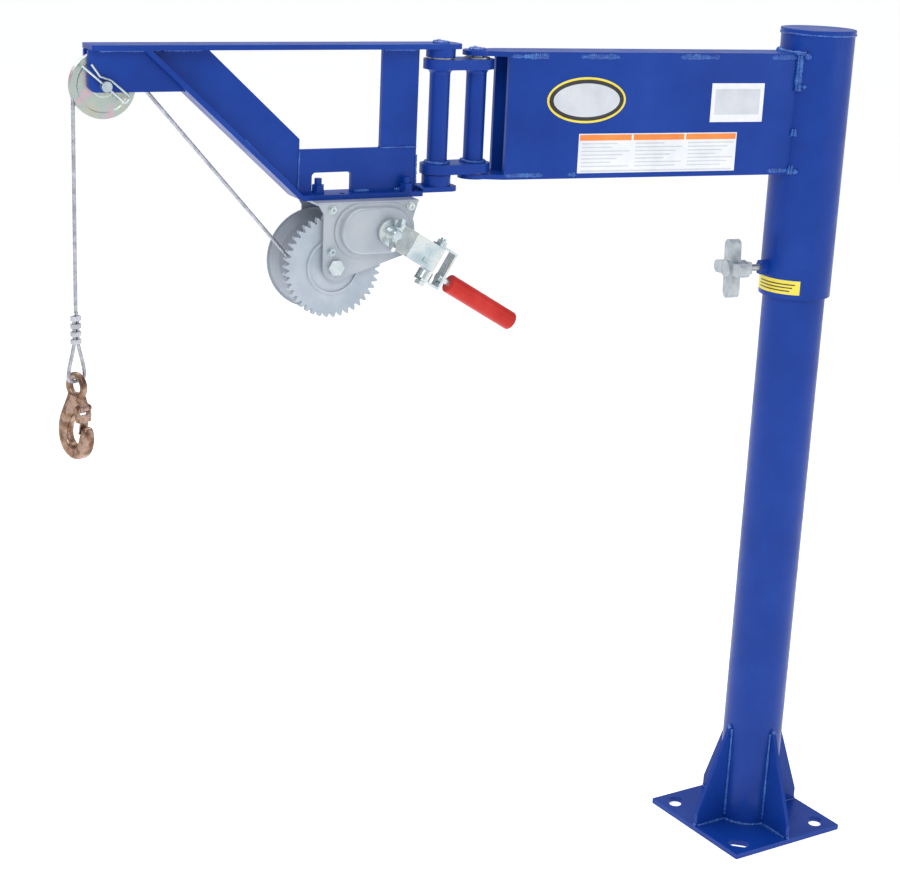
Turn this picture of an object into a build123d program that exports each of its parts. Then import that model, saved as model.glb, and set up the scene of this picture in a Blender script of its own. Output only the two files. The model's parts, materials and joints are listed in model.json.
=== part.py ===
from build123d import *
from math import acos, asin, atan2, cos, degrees, hypot, pi, radians, sin, sqrt, tan
import os

# Bolt-down engine hoist crane: a pipe mast on a square base, a swivelling box boom, a hinged
# link and a folding outer arm that carries a hand winch, a wire rope and a swivelling hook.
# Millimetres, +Z up, origin at the centre of the base plate's underside.

os.makedirs("parts", exist_ok=True)

# ---------------------------------------------------------------- driving dimensions
# base and mast: 8 inch plate, 3 inch and 3 1/2 inch schedule 40 pipe
BASE_SIDE = 203.2
BASE_T = 7.94
SLOT_W = 19.05
SLOT_L = 31.75
SLOT_AT = 76.2
GUSSET_T = 6.35
GUSSET_H = 152.4
GUSSET_END = 19.05
GUSSET_REACH = 98.5
MAST_R = 44.45
MAST_BORE_R = 38.97
SLEEVE_R = 50.8
SLEEVE_BORE_R = 45.06
SLEEVE_BOTTOM = 831.6
TOP_Z = 1204.0
CAP_R = 52.0
CAP_T = 6.35

# inner boom
INNER_TURN = radians(-10.69)
BOOM_W = 50.8
PLATE_T = 6.35
BOOM_TOP = 1172.05
BOOM_BOTTOM = 1006.95
BOX_END = 472.0
PIN_A_REACH = 506.7
EAR_NOSE_R = 19.5
PIN_R = 9.525

# link between the two hinges
LINK_TURN = radians(-2.57)
LINK_SPAN = 54.1
LINK_R = 22.2
LINK_T = 12.7
LINK_TOP = 1161.3
LINK_BOTTOM = 1015.0
BARREL_R = 13.335
BARREL_BORE_R = 10.465
RUN_GAP = 0.08
REST_GAP = 0.25

# outer arm
OUTER_TURN = radians(-5.33)
ARM_W = 38.1
WEB_HALF = 3.175
ARM_TOP = 1181.15
COLLAR_R = 19.05
BAR_END = 463.0
STRUT_FROM = 31.6
STRUT_W = 50.8
BAR_Z = 994.9
BAR_TOP = 1050.4
BEND_L = 193.6
SLOPE = radians(42.55)
STRIP_START = 27.5
STRIP_END = 389.6
CHEEK_T = 4.76
CHEEK_GAP = 12.7

# sheave, rope and hook
SHEAVE_L = 445.3
SHEAVE_Z = 1133.2
SHEAVE_R = 36.5
SHEAVE_W = 11.4
ROPE_D = 4.8
ROPE_ON_SHEAVE = 35.5
ROPE_ON_DRUM = 30.5
HOOK_TURN = radians(67.4)
EYE_Z = 768.0

# winch
DRUM_L = 157.0
DRUM_Z = 906.5
MODULE = 3.0
GEAR_TEETH = 42
PINION_TEETH = 13
FRAME_FRONT = 40.0
FRAME_REAR = -35.0
SHEET = 3.0
CRANK_DROP = radians(31.0)
ARM_LENGTH = 75.2


# ---------------------------------------------------------------- frames and helpers
def arm_frame(x, y, turn):
    """Frame of an arm: x runs outward along the arm, y points to its front, z is up."""
    return Plane(origin=(x, y, 0), x_dir=(-cos(turn), -sin(turn), 0), z_dir=(0, 0, 1))


def level(frame, height):
    """Sketch plane parallel to the frame's own x-y plane."""
    return Plane(origin=frame.from_local_coords((0, 0, height)), x_dir=frame.x_dir, z_dir=frame.z_dir)


def side(frame, offset):
    """Sketch plane in the frame's x-z plane; extrusions run away from the front."""
    return Plane(origin=frame.from_local_coords((0, offset, 0)), x_dir=frame.x_dir, z_dir=-frame.y_dir)


def involute_point(base_r, radius, half_angle, hand):
    """Point of a tooth flank at a radius; half_angle is the flank's angle on the base circle."""
    roll = sqrt(max(radius * radius / (base_r * base_r) - 1, 0))
    angle = half_angle - (roll - atan2(roll, 1))
    return (radius * cos(hand * angle), radius * sin(hand * angle))


def tooth_points(teeth, tip_r, root_r, backlash):
    """Outline of one spur tooth about the x axis, 25 degree pressure angle."""
    pitch_r = MODULE * teeth / 2
    base_r = pitch_r * cos(radians(25))
    roll = tan(radians(25)) - radians(25)
    half_angle = pi / 2 / teeth - backlash / pitch_r + roll
    start = max(base_r, root_r)
    radii = [start + (tip_r - start) * step / 4 for step in range(5)]
    lower = [involute_point(base_r, radius, half_angle, -1) for radius in radii]
    upper = [involute_point(base_r, radius, half_angle, 1) for radius in reversed(radii)]
    inside = root_r - 1.5
    flank = degrees(atan2(upper[-1][1], upper[-1][0]))
    foot = (inside * cos(radians(flank)), inside * sin(radians(flank)))
    return [(foot[0], -foot[1])] + lower + upper + [foot]


inner = arm_frame(0, 0, INNER_TURN)
pin_a = inner.from_local_coords((PIN_A_REACH, 0, 0))
link = arm_frame(pin_a.X, pin_a.Y, LINK_TURN)
pin_b = link.from_local_coords((LINK_SPAN, 0, 0))
outer = arm_frame(pin_b.X, pin_b.Y, OUTER_TURN)


# ---------------------------------------------------------------- base and mast
def gusset_plane(angle):
    """Upright plane through the mast axis."""
    return Plane(origin=(0, 0, 0), x_dir=(cos(angle), sin(angle), 0), z_dir=(sin(angle), -cos(angle), 0))


with BuildPart() as base_plate:
    with BuildSketch(Plane.XY):
        Rectangle(BASE_SIDE, BASE_SIDE)
        for corner in range(4):
            spin = 45 + 90 * corner
            spot = (SLOT_AT * sqrt(2) * cos(radians(spin)), SLOT_AT * sqrt(2) * sin(radians(spin)))
            with Locations(spot):
                SlotOverall(SLOT_L, SLOT_W, rotation=spin + 90, mode=Mode.SUBTRACT)
    extrude(amount=BASE_T)
base_plate.part.label = "base_plate"
export_step(base_plate.part, "parts/base_plate.step")

with BuildPart() as gussets:
    for corner in range(4):
        with BuildSketch(gusset_plane(radians(90 * corner))):
            with BuildLine():
                Polyline(
                    (MAST_R - 2, BASE_T),
                    (GUSSET_REACH, BASE_T),
                    (GUSSET_REACH, BASE_T + GUSSET_END),
                    (MAST_R + 4, BASE_T + GUSSET_H),
                    (MAST_R - 2, BASE_T + GUSSET_H),
                    close=True,
                )
            make_face()
        extrude(amount=GUSSET_T / 2, both=True)
    with BuildSketch(Plane.XY):
        Circle(MAST_R)
    extrude(amount=BASE_T + GUSSET_H + 1, mode=Mode.SUBTRACT)
gussets.part.label = "gussets"
export_step(gussets.part, "parts/gussets.step")

mast_top = TOP_Z - CAP_T - REST_GAP - 3.175 - 6.35
with BuildPart() as mast_tube:
    with BuildSketch(Plane.XY.offset(BASE_T)):
        Circle(MAST_R)
        Circle(MAST_BORE_R, mode=Mode.SUBTRACT)
    extrude(amount=mast_top - BASE_T)
mast_tube.part.label = "mast_tube"
export_step(mast_tube.part, "parts/mast_tube.step")

with BuildPart() as mast_top_plate:
    with BuildSketch(Plane.XY.offset(mast_top)):
        Circle(MAST_R - 0.3)
    extrude(amount=6.35)
    chamfer(mast_top_plate.edges().group_by(Axis.Z)[-1], 1.2)
mast_top_plate.part.label = "mast_top_plate"
export_step(mast_top_plate.part, "parts/mast_top_plate.step")

with BuildPart() as thrust_washer:
    with BuildSketch(Plane.XY.offset(mast_top + 6.35)):
        Circle(38)
        Circle(8, mode=Mode.SUBTRACT)
    extrude(amount=3.175)
thrust_washer.part.label = "thrust_washer"
export_step(thrust_washer.part, "parts/thrust_washer.step")

# ---------------------------------------------------------------- inner boom
LOCK_Z = 871.0
with BuildPart() as sleeve:
    with BuildSketch(Plane.XY.offset(SLEEVE_BOTTOM)):
        Circle(SLEEVE_R)
        Circle(SLEEVE_BORE_R, mode=Mode.SUBTRACT)
    extrude(amount=TOP_Z - CAP_T - SLEEVE_BOTTOM)
    with BuildSketch(Plane(origin=(0, 0, LOCK_Z), z_dir=inner.x_dir)):
        Circle(5.4)
    extrude(amount=60, mode=Mode.SUBTRACT)
sleeve.part.label = "sleeve"
export_step(sleeve.part, "parts/sleeve.step")

with BuildPart() as sleeve_cap:
    with BuildSketch(Plane.XY.offset(TOP_Z - CAP_T)):
        Circle(CAP_R)
    extrude(amount=CAP_T)
    fillet(sleeve_cap.edges().group_by(Axis.Z)[-1], 1.0)
sleeve_cap.part.label = "sleeve_cap"
export_step(sleeve_cap.part, "parts/sleeve_cap.step")

with BuildPart() as boom_front_plate:
    with BuildSketch(level(inner, BOOM_BOTTOM + PLATE_T)):
        with Locations((BOX_END / 2, BOOM_W / 2 - PLATE_T / 2)):
            Rectangle(BOX_END, PLATE_T)
    extrude(amount=BOOM_TOP - BOOM_BOTTOM - 2 * PLATE_T)
    with BuildSketch(Plane.XY.offset(SLEEVE_BOTTOM)):
        Circle(SLEEVE_R)
    extrude(amount=TOP_Z - SLEEVE_BOTTOM, mode=Mode.SUBTRACT)
boom_front_plate.part.label = "boom_front_plate"
export_step(boom_front_plate.part, "parts/boom_front_plate.step")

with BuildPart() as boom_rear_plate:
    with BuildSketch(level(inner, BOOM_BOTTOM + PLATE_T)):
        with Locations((BOX_END / 2, PLATE_T / 2 - BOOM_W / 2)):
            Rectangle(BOX_END, PLATE_T)
    extrude(amount=BOOM_TOP - BOOM_BOTTOM - 2 * PLATE_T)
    with BuildSketch(Plane.XY.offset(SLEEVE_BOTTOM)):
        Circle(SLEEVE_R)
    extrude(amount=TOP_Z - SLEEVE_BOTTOM, mode=Mode.SUBTRACT)
boom_rear_plate.part.label = "boom_rear_plate"
export_step(boom_rear_plate.part, "parts/boom_rear_plate.step")


def boom_flange_outline():
    """Flange seen from above: full width along the box, then an ear tapering to a round nose."""
    reach = PIN_A_REACH - BOX_END
    lean = atan2(BOOM_W / 2, reach) - acos(EAR_NOSE_R / hypot(BOOM_W / 2, reach))
    touch = (PIN_A_REACH + EAR_NOSE_R * sin(lean), EAR_NOSE_R * cos(lean))
    with BuildSketch() as outline:
        with BuildLine():
            Polyline(
                (touch[0], -touch[1]),
                (BOX_END, -BOOM_W / 2),
                (0, -BOOM_W / 2),
                (0, BOOM_W / 2),
                (BOX_END, BOOM_W / 2),
                touch,
            )
            ThreePointArc(touch, (PIN_A_REACH + EAR_NOSE_R, 0), (touch[0], -touch[1]))
        make_face()
        with Locations((PIN_A_REACH, 0)):
            Circle(PIN_R, mode=Mode.SUBTRACT)
    return outline.sketch


with BuildPart() as boom_top_plate:
    with BuildSketch(level(inner, BOOM_TOP - PLATE_T)):
        add(boom_flange_outline())
    extrude(amount=PLATE_T)
    with BuildSketch(Plane.XY.offset(BOOM_BOTTOM - 1)):
        Circle(SLEEVE_R)
    extrude(amount=TOP_Z - BOOM_BOTTOM, mode=Mode.SUBTRACT)
boom_top_plate.part.label = "boom_top_plate"
export_step(boom_top_plate.part, "parts/boom_top_plate.step")

with BuildPart() as boom_bottom_plate:
    with BuildSketch(level(inner, BOOM_BOTTOM)):
        add(boom_flange_outline())
    extrude(amount=PLATE_T)
    with BuildSketch(Plane.XY.offset(BOOM_BOTTOM - 1)):
        Circle(SLEEVE_R)
    extrude(amount=TOP_Z - BOOM_BOTTOM, mode=Mode.SUBTRACT)
boom_bottom_plate.part.label = "boom_bottom_plate"
export_step(boom_bottom_plate.part, "parts/boom_bottom_plate.step")

with BuildPart() as hinge_pin_a:
    with BuildSketch(level(inner, BOOM_BOTTOM - 1.5)):
        with Locations((PIN_A_REACH, 0)):
            Circle(PIN_R)
    extrude(amount=BOOM_TOP - BOOM_BOTTOM + 3.5)
    chamfer(hinge_pin_a.edges().group_by(Axis.Z)[-1], 1.2)
hinge_pin_a.part.label = "hinge_pin_a"
export_step(hinge_pin_a.part, "parts/hinge_pin_a.step")

lock_plane = Plane(origin=(0, 0, LOCK_Z), x_dir=inner.y_dir, z_dir=inner.x_dir)
with BuildPart() as lock_nut:
    with BuildSketch(lock_plane.offset(SLEEVE_R - 2)):
        RegularPolygon(9.525, 6, major_radius=False)
    extrude(amount=12)
    with BuildSketch(lock_plane):
        Circle(4.86)
    extrude(amount=80, mode=Mode.SUBTRACT)
    with BuildSketch(Plane.XY.offset(SLEEVE_BOTTOM)):
        Circle(SLEEVE_R)
    extrude(amount=100, mode=Mode.SUBTRACT)
lock_nut.part.label = "lock_nut"
export_step(lock_nut.part, "parts/lock_nut.step")

# ---------------------------------------------------------------- lock screw
with BuildPart() as lock_stud:
    with BuildSketch(lock_plane.offset(MAST_R + 0.3)):
        Circle(4.76)
    extrude(amount=40)
lock_stud.part.label = "lock_stud"
export_step(lock_stud.part, "parts/lock_stud.step")

with BuildPart() as lock_knob:
    with BuildSketch(lock_plane.offset(77)):
        Rectangle(17, 17, rotation=8)
    extrude(amount=9)
    with BuildSketch(lock_plane.offset(85)):
        Circle(11.5)
    extrude(amount=31)
    for turn in range(2):
        with BuildSketch(lock_plane.offset(96 + turn)):
            SlotOverall(83 - 5 * turn, 18, rotation=94 - 90 * turn)
        extrude(amount=17 - 2 * turn)
    with BuildSketch(lock_plane.offset(76)):
        Circle(4.76)
    extrude(amount=MAST_R + 40.3 - 76, mode=Mode.SUBTRACT)
lock_knob.part.label = "lock_knob"
export_step(lock_knob.part, "parts/lock_knob.step")


# ---------------------------------------------------------------- link
def link_outline(hole_r):
    """Rounded link plate over both pins."""
    with Locations((LINK_SPAN / 2, 0)):
        SlotCenterToCenter(LINK_SPAN, 2 * LINK_R)
    with Locations((0, 0), (LINK_SPAN, 0)):
        Circle(hole_r, mode=Mode.SUBTRACT)


with BuildPart() as link_top_plate:
    with BuildSketch(level(link, LINK_TOP - LINK_T)):
        link_outline(PIN_R + RUN_GAP)
    extrude(amount=LINK_T)
link_top_plate.part.label = "link_top_plate"
export_step(link_top_plate.part, "parts/link_top_plate.step")

with BuildPart() as link_bottom_plate:
    with BuildSketch(level(link, LINK_BOTTOM)):
        link_outline(PIN_R + RUN_GAP)
    extrude(amount=LINK_T)
link_bottom_plate.part.label = "link_bottom_plate"
export_step(link_bottom_plate.part, "parts/link_bottom_plate.step")

barrel_len = LINK_TOP - LINK_BOTTOM - 2 * LINK_T
with BuildPart() as link_barrels:
    with BuildSketch(level(link, LINK_BOTTOM + LINK_T)):
        with Locations((0, 0), (LINK_SPAN, 0)):
            Circle(BARREL_R)
            Circle(BARREL_BORE_R, mode=Mode.SUBTRACT)
    extrude(amount=barrel_len)
link_barrels.part.label = "link_barrels"
export_step(link_barrels.part, "parts/link_barrels.step")

with BuildPart() as link_bushings:
    for start in (LINK_BOTTOM + LINK_T, LINK_TOP - LINK_T - 25):
        with BuildSketch(level(link, start)):
            with Locations((0, 0), (LINK_SPAN, 0)):
                Circle(BARREL_BORE_R)
                Circle(PIN_R + RUN_GAP, mode=Mode.SUBTRACT)
        extrude(amount=25)
link_bushings.part.label = "link_bushings"
export_step(link_bushings.part, "parts/link_bushings.step")

with BuildPart() as link_washers:
    for start, thick in ((LINK_TOP, 2.0), (BOOM_BOTTOM + PLATE_T + REST_GAP, 1.45)):
        with BuildSketch(level(link, start)):
            Circle(16.5)
            Circle(PIN_R + 0.3, mode=Mode.SUBTRACT)
        extrude(amount=thick)
link_washers.part.label = "link_washers"
export_step(link_washers.part, "parts/link_washers.step")

# ---------------------------------------------------------------- outer arm
with BuildPart() as arm_top_bar:
    with BuildSketch(level(outer, ARM_TOP - PLATE_T)):
        with Locations(((BAR_END - 25) / 2, 0)):
            Rectangle(BAR_END + 25, ARM_W)
        with Locations((0, 0)):
            Circle(PIN_R, mode=Mode.SUBTRACT)
    extrude(amount=PLATE_T)
    corners = arm_top_bar.edges().filter_by(Axis.Z)
    fillet(corners.sort_by(Axis.X)[-2:], 12)
arm_top_bar.part.label = "arm_top_bar"
export_step(arm_top_bar.part, "parts/arm_top_bar.step")

with BuildPart() as hinge_pin_b:
    with BuildSketch(level(outer, 991.5)):
        Circle(PIN_R)
    extrude(amount=ARM_TOP + 2 - 991.5)
    chamfer(hinge_pin_b.edges().group_by(Axis.Z)[-1], 1.2)
hinge_pin_b.part.label = "hinge_pin_b"
export_step(hinge_pin_b.part, "parts/hinge_pin_b.step")

ear_z = 993.0
with BuildPart() as arm_collars:
    for start, end in ((LINK_TOP + REST_GAP + 2, ARM_TOP - PLATE_T), (ear_z + PLATE_T, LINK_BOTTOM - 1.5)):
        with BuildSketch(level(outer, start)):
            Circle(COLLAR_R)
            Circle(PIN_R, mode=Mode.SUBTRACT)
        extrude(amount=end - start)
arm_collars.part.label = "arm_collars"
export_step(arm_collars.part, "parts/arm_collars.step")

with BuildPart() as arm_washer:
    with BuildSketch(level(outer, LINK_TOP + REST_GAP)):
        Circle(17.2)
        Circle(PIN_R, mode=Mode.SUBTRACT)
    extrude(amount=2)
arm_washer.part.label = "arm_washer"
export_step(arm_washer.part, "parts/arm_washer.step")

with BuildPart() as arm_lower_ear:
    with BuildSketch(level(outer, ear_z)):
        with Locations(((STRIP_START - 25) / 2, 0)):
            Rectangle(STRIP_START + 25, ARM_W)
        Circle(PIN_R, mode=Mode.SUBTRACT)
    extrude(amount=PLATE_T)
    corners = arm_lower_ear.edges().filter_by(Axis.Z)
    fillet(corners.sort_by(Axis.X)[-2:], 12)
arm_lower_ear.part.label = "arm_lower_ear"
export_step(arm_lower_ear.part, "parts/arm_lower_ear.step")

with BuildPart() as arm_strut:
    with BuildSketch(side(outer, WEB_HALF)):
        with Locations((STRUT_FROM + STRUT_W / 2, (BAR_TOP + ARM_TOP - PLATE_T) / 2)):
            Rectangle(STRUT_W, ARM_TOP - PLATE_T - BAR_TOP)
    extrude(amount=2 * WEB_HALF)
arm_strut.part.label = "arm_strut"
export_step(arm_strut.part, "parts/arm_strut.step")

with BuildPart() as arm_lower_bar:
    with BuildSketch(side(outer, WEB_HALF)):
        with BuildLine():
            Polyline(
                (STRUT_FROM, BAR_Z),
                (122, BAR_Z),
                (122, 1021),
                (176, 1021),
                (176, BAR_Z),
                (BEND_L, BAR_Z),
                (BEND_L, BAR_TOP),
                (STRUT_FROM, BAR_TOP),
                close=True,
            )
        make_face()
    extrude(amount=2 * WEB_HALF)
    across = arm_lower_bar.edges().filter_by(Axis((0, 0, 0), outer.y_dir))
    fillet(across.group_by(Axis.Z)[1], 5)
arm_lower_bar.part.label = "arm_lower_bar"
export_step(arm_lower_bar.part, "parts/arm_lower_bar.step")

rise = tan(SLOPE)
web_w = 50.8 / cos(SLOPE)
with BuildPart() as arm_diagonal:
    top = ARM_TOP - PLATE_T
    with BuildSketch(side(outer, WEB_HALF)):
        with BuildLine():
            Polyline(
                (BEND_L, BAR_Z),
                (BEND_L + (top - BAR_Z) / rise, top),
                (BEND_L + (top - BAR_Z - web_w) / rise, top),
                (BEND_L, BAR_Z + web_w),
                close=True,
            )
        make_face()
    extrude(amount=2 * WEB_HALF)
arm_diagonal.part.label = "arm_diagonal"
export_step(arm_diagonal.part, "parts/arm_diagonal.step")

strip_drop = PLATE_T / cos(SLOPE)
inner_bend = PLATE_T * tan(SLOPE / 2)
with BuildPart() as arm_strip:
    with BuildSketch(side(outer, ARM_W / 2)):
        with BuildLine():
            Polyline(
                (STRIP_START, BAR_Z),
                (BEND_L, BAR_Z),
                (BEND_L + (top - BAR_Z) / rise, top),
                (BEND_L + (top - BAR_Z + strip_drop) / rise, top),
                (BEND_L + inner_bend, BAR_Z - PLATE_T),
                (STRIP_START, BAR_Z - PLATE_T),
                close=True,
            )
        make_face()
    extrude(amount=ARM_W)
    bend = arm_strip.edges().filter_by(Axis((0, 0, 0), outer.y_dir)).group_by(Axis.Z)[0]
    fillet(bend.sort_by(Axis.X)[:1], 12)
    with BuildSketch(level(outer, BAR_Z - PLATE_T)):
        with Locations((48, 12), (48, -12), (166, 0)):
            Circle(4.9)
        with Locations((137, 10)):
            Circle(4)
    extrude(amount=PLATE_T, mode=Mode.SUBTRACT)
arm_strip.part.label = "arm_strip"
export_step(arm_strip.part, "parts/arm_strip.step")

cheek_z = 1125.5
under = BAR_Z - strip_drop
with BuildPart() as cheeks:
    for start in (CHEEK_GAP / 2 + CHEEK_T, -CHEEK_GAP / 2):
        with BuildSketch(side(outer, start)):
            with BuildLine():
                Polyline(
                    (465, top),
                    (465, cheek_z),
                    (BEND_L + (cheek_z - under) / rise, cheek_z),
                    (BEND_L + (top - under) / rise, top),
                    close=True,
                )
            make_face()
            with Locations((SHEAVE_L, SHEAVE_Z)):
                Circle(6.35, mode=Mode.SUBTRACT)
        extrude(amount=CHEEK_T)
    low = cheeks.edges().filter_by(Axis((0, 0, 0), outer.y_dir)).sort_by(Axis.X)[:4]
    fillet(low.sort_by(Axis.Z)[:2], 10)
cheeks.part.label = "cheeks"
export_step(cheeks.part, "parts/cheeks.step")

with BuildPart() as sheave_pin:
    with BuildSketch(side(outer, 21)):
        with Locations((SHEAVE_L, SHEAVE_Z)):
            Circle(6.35)
    extrude(amount=21 + CHEEK_GAP / 2 + CHEEK_T)
    with BuildSketch(side(outer, -CHEEK_GAP / 2 - CHEEK_T)):
        with Locations((SHEAVE_L, SHEAVE_Z)):
            Circle(10)
    extrude(amount=5)
    clip_tilt = atan2(44.1, 52)
    clip_x = outer.x_dir * cos(clip_tilt) + Vector(0, 0, sin(clip_tilt))
    clip_at = outer.from_local_coords((SHEAVE_L, 16, SHEAVE_Z))
    with BuildSketch(Plane(origin=clip_at, z_dir=clip_x)):
        Circle(1.5)
    extrude(amount=10, both=True, mode=Mode.SUBTRACT)
sheave_pin.part.label = "sheave_pin"
export_step(sheave_pin.part, "parts/sheave_pin.step")

clip_plane = Plane(origin=clip_at, x_dir=clip_x, z_dir=-outer.y_dir)
with BuildPart() as hairpin_clip:
    with BuildLine(clip_plane) as clip_path:
        FilletPolyline((38, 0), (-31, 0), (-31, 9.5), (-13, 9.5), (0, 9.3), (13, 4.2), (30, 8.5), radius=3.5)
    with BuildSketch(Plane(origin=clip_path.line @ 0, z_dir=clip_path.line % 0)):
        Circle(1.4)
    sweep()
hairpin_clip.part.label = "hairpin_clip"
export_step(hairpin_clip.part, "parts/hairpin_clip.step")

# ---------------------------------------------------------------- sheave and rope
with BuildPart() as sheave:
    sheave_axis = Axis(outer.from_local_coords((SHEAVE_L, 0, SHEAVE_Z)), outer.y_dir)
    with BuildSketch(level(outer, SHEAVE_Z)):
        with BuildLine():
            Polyline(
                (SHEAVE_L + 6.45, -SHEAVE_W / 2),
                (SHEAVE_L + 13, -SHEAVE_W / 2),
                (SHEAVE_L + 14.5, 0.8 - SHEAVE_W / 2),
                (SHEAVE_L + 31, 0.8 - SHEAVE_W / 2),
                (SHEAVE_L + 32.5, -SHEAVE_W / 2),
                (SHEAVE_L + SHEAVE_R + 3, -SHEAVE_W / 2),
                (SHEAVE_L + SHEAVE_R + 3, 1.0 - SHEAVE_W / 2),
                (SHEAVE_L + ROPE_ON_SHEAVE - 0.2, -2.6),
            )
            ThreePointArc(
                (SHEAVE_L + ROPE_ON_SHEAVE - 0.2, -2.6),
                (SHEAVE_L + ROPE_ON_SHEAVE - 2.6, 0),
                (SHEAVE_L + ROPE_ON_SHEAVE - 0.2, 2.6),
            )
            Polyline(
                (SHEAVE_L + ROPE_ON_SHEAVE - 0.2, 2.6),
                (SHEAVE_L + SHEAVE_R + 3, SHEAVE_W / 2 - 1.0),
                (SHEAVE_L + SHEAVE_R + 3, SHEAVE_W / 2),
                (SHEAVE_L + 32.5, SHEAVE_W / 2),
                (SHEAVE_L + 31, SHEAVE_W / 2 - 0.8),
                (SHEAVE_L + 14.5, SHEAVE_W / 2 - 0.8),
                (SHEAVE_L + 13, SHEAVE_W / 2),
                (SHEAVE_L + 6.45, SHEAVE_W / 2),
                (SHEAVE_L + 6.45, -SHEAVE_W / 2),
            )
        make_face()
    revolve(axis=sheave_axis)
sheave.part.label = "sheave"
export_step(sheave.part, "parts/sheave.step")

span = hypot(SHEAVE_L - DRUM_L, SHEAVE_Z - DRUM_Z)
climb = atan2(SHEAVE_Z - DRUM_Z, SHEAVE_L - DRUM_L) + asin((ROPE_ON_DRUM + ROPE_ON_SHEAVE) / span)
hang_l = SHEAVE_L + ROPE_ON_SHEAVE
leave = (DRUM_L + ROPE_ON_DRUM * sin(climb), DRUM_Z - ROPE_ON_DRUM * cos(climb))
crown = (hang_l, leave[1] + (hang_l - leave[0]) * tan(climb))
with BuildPart() as rope_run:
    with BuildLine(side(outer, 0)) as rope_path:
        FilletPolyline(leave, crown, (hang_l, SHEAVE_Z - 2), radius=ROPE_ON_SHEAVE)
    with BuildSketch(Plane(origin=rope_path.line @ 0, z_dir=rope_path.line % 0)):
        Circle(ROPE_D / 2)
    sweep()
rope_run.part.label = "rope_run"
export_step(rope_run.part, "parts/rope_run.step")
print("rope run radius", ROPE_ON_SHEAVE, "length", round(rope_path.wires()[0].length, 1))

HANG_TOP = SHEAVE_Z - 2
HANG_BOTTOM = 862.0
with BuildPart() as rope_fall:
    with BuildSketch(level(outer, HANG_BOTTOM)):
        with Locations((hang_l, 0)):
            Circle(ROPE_D / 2)
    extrude(amount=HANG_TOP - HANG_BOTTOM)
rope_fall.part.label = "rope_fall"
export_step(rope_fall.part, "parts/rope_fall.step")

# ---------------------------------------------------------------- hook
hook_x = outer.x_dir * -cos(HOOK_TURN) + outer.y_dir * sin(HOOK_TURN)
hang_at = outer.from_local_coords((hang_l, 0, 0))
hook_frame = Plane(origin=hang_at, x_dir=hook_x, z_dir=(0, 0, 1))

with BuildPart() as rope_eye:
    with BuildLine(Plane(origin=hang_at, x_dir=hook_frame.y_dir, z_dir=hook_x)) as eye_path:
        FilletPolyline(
            (-2.5, 852.5), (-2.5, 818), (-12.4, 788.4), (-12.4, 774.2),
            (12.4, 774.2), (12.4, 788.4), (2.5, 818), (2.5, 853.5), (0.3, 861.2),
            radius=[20, 9, 11.4, 11.4, 9, 20, 14],
        )
    with BuildSketch(Plane(origin=eye_path.line @ 0, z_dir=eye_path.line % 0)):
        Circle(ROPE_D / 2)
    sweep()
rope_eye.part.label = "rope_eye"
export_step(rope_eye.part, "parts/rope_eye.step")
print("rope eye radii 20 9 11.4 11.4 9 20 14 length", round(eye_path.wires()[0].length, 1))

with BuildPart() as rope_clamps:
    for step in range(4):
        with BuildSketch(level(hook_frame, 821.5 + 9.6 * step)):
            SlotOverall(14.6, 9.4, rotation=90)
            SlotOverall(9.9, 4.85, rotation=90, mode=Mode.SUBTRACT)
        extrude(amount=6)
    fillet(rope_clamps.edges().filter_by(GeomType.CIRCLE).filter_by(lambda e: e.radius > 4), 1.2)
rope_clamps.part.label = "rope_clamps"
export_step(rope_clamps.part, "parts/rope_clamps.step")

hook_side = side(hook_frame, 0)
LATCH = (10.5, 741.5)
with BuildPart() as hook:
    with BuildSketch(hook_side):
        with BuildLine():
            Spline(
                (-11, 758), (-19, 742), (-28, 722), (-29.4, 702), (-20, 682.5),
                (-1.5, 675), (17, 682), (26.3, 700), (24.5, 716),
            )
            ThreePointArc((24.5, 716), (19.5, 719.5), (13.5, 713))
            Spline(
                (13.5, 713), (9.5, 703), (5.5, 695), (-2.5, 692),
                (-11, 697), (-13.5, 708), (-6, 726), (6, 746), (9, 758),
            )
            Line((9, 758), (-11, 758))
        make_face()
    extrude(amount=7.2, both=True)
    rims = hook.edges().filter_by(lambda e: abs(e.tangent_at(0.5).dot(hook_frame.y_dir)) < 0.5)
    fillet(rims.filter_by(lambda e: e.length > 40), 4.2)
    with BuildSketch(hook_side):
        with Locations(LATCH):
            Circle(5.2)
        Polygon((2, 734), (10.5, 736.4), (14, 745), (8, 758), (-2, 752), align=None)
    extrude(amount=6.8, both=True)
    with BuildSketch(level(hook_frame, EYE_Z)):
        with Locations((13.5, 0)):
            Circle(4.5)
    revolve(axis=Axis(hang_at + Vector(0, 0, EYE_Z), hook_frame.y_dir))
    with BuildSketch(side(hook_frame, 12)):
        with Locations((0, EYE_Z)):
            Circle(9.0)
        with Locations(LATCH):
            Circle(2.0)
    extrude(amount=24, mode=Mode.SUBTRACT)
    with BuildSketch(level(hook_frame, EYE_Z)):
        with Locations((13.5, 0)):
            Circle(4.5)
    revolve(axis=Axis(hang_at + Vector(0, 0, EYE_Z), hook_frame.y_dir))
hook.part.label = "hook"
export_step(hook.part, "parts/hook.step")

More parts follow.
